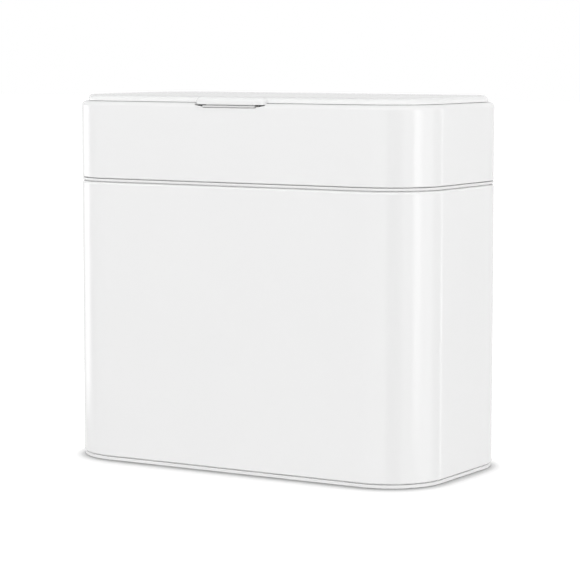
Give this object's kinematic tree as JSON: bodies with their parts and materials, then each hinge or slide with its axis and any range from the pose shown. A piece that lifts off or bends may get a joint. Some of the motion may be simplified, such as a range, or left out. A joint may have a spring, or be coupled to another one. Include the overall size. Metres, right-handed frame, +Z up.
{
  "type": "compost caddy",
  "caption": "White steel countertop compost caddy with a lift-out bucket, a lift-off collar and a hinged lid with a front pull tab.",
  "frame": {"origin": "centre of the body's footprint, on the worktop", "axes": "+Z up, front with the pull tab towards -Y, +X along the body's width"},
  "size_m": [0.24, 0.1246, 0.2166],
  "materials": {
    "white_painted_steel": "smooth glossy white powder coat on steel sheet",
    "white_plastic": "satin white moulded plastic",
    "grey_bucket_plastic": "fine-grained grey moulded plastic",
    "grey_silicone": "soft grey silicone",
    "dark_silicone": "soft dark grey silicone",
    "dark_rubber": "matt dark rubber",
    "bright_steel": "plain bright steel",
    "nickel_magnet": "nickel plated",
    "natural_acetal": "smooth natural bearing plastic"
  },
  "bodies": {
    "housing": {"outer_shell": "white_painted_steel", "shell_trim": "white_plastic", "base_tray": "white_plastic", "foot_pads": "dark_rubber", "floor_pan": "white_plastic", "base_screws": "bright_steel", "magnet_carrier": "white_plastic", "docking_magnets": "nickel_magnet", "magnet_back_plate": "bright_steel"},
    "bucket": {"bucket": "grey_bucket_plastic"},
    "collar": {"collar_band": "white_painted_steel", "collar_frame": "white_plastic", "lid_bumpers": "dark_silicone", "hinge_cap_left": "white_plastic", "hinge_cap_centre": "white_plastic", "hinge_cap_right": "white_plastic", "hinge_cap_screws": "bright_steel", "hinge_pins": "bright_steel"},
    "lid": {"lid_cover": "white_painted_steel", "tab_grip": "white_plastic", "lid_inner": "white_plastic", "lid_seal": "grey_silicone", "hinge_bushes": "natural_acetal"}
  },
  "joints": [
    {"name": "bucket_lift", "type": "slide", "parent": "housing", "child": "bucket", "axis": [0, 0, 1], "range_m": [0, 0.17]},
    {"name": "collar_lift", "type": "slide", "parent": "bucket", "child": "collar", "axis": [0, 0, 1], "range_m": [0, 0.055]},
    {"name": "lid_hinge", "type": "hinge", "parent": "collar", "child": "lid", "pos_m": [0, 0.05345, 0.2127], "axis": [-1, 0, 0], "range_deg": [0, 115]}
  ]
}
